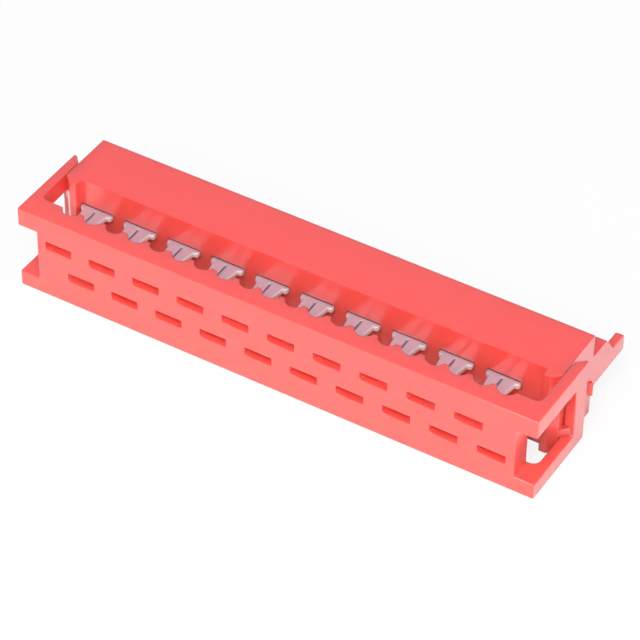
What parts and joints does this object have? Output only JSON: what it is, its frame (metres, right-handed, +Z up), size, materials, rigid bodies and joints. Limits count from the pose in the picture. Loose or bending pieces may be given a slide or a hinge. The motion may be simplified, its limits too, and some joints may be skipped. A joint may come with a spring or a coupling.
{
  "type": "wire-to-board connector",
  "caption": "Flat ribbon-cable connector with a slotted cover held open by end frames on a contact housing with forked blades, mating tabs and a polarising tab.",
  "frame": {"origin": "under the middle of the whole connector, on the surface that it lies on", "axes": "+X along the row of wires, towards the end with the polarising tab; +Y from the cover towards the mating side; +Z up, across the two contact rows"},
  "size_m": [0.0288, 0.01, 0.0049],
  "materials": {
    "cover_plastic": "moulded, semi-gloss",
    "housing_plastic": "moulded, glossy",
    "tinned_contact": "tin plated, satin"
  },
  "bodies": {
    "housing": {"housing": "housing_plastic", "contact_01": "tinned_contact", "contact_02": "tinned_contact", "contact_03": "tinned_contact", "contact_04": "tinned_contact", "contact_05": "tinned_contact", "contact_06": "tinned_contact", "contact_07": "tinned_contact", "contact_08": "tinned_contact", "contact_09": "tinned_contact", "contact_10": "tinned_contact", "contact_11": "tinned_contact", "contact_12": "tinned_contact", "contact_13": "tinned_contact", "contact_14": "tinned_contact", "contact_15": "tinned_contact", "contact_16": "tinned_contact", "contact_17": "tinned_contact", "contact_18": "tinned_contact", "contact_19": "tinned_contact", "contact_20": "tinned_contact"},
    "cover": {"cover": "cover_plastic"}
  },
  "joints": [
    {"name": "cover_press", "type": "slide", "parent": "housing", "child": "cover", "axis": [0, 1, 0], "range_m": [0, 0.00165]}
  ]
}
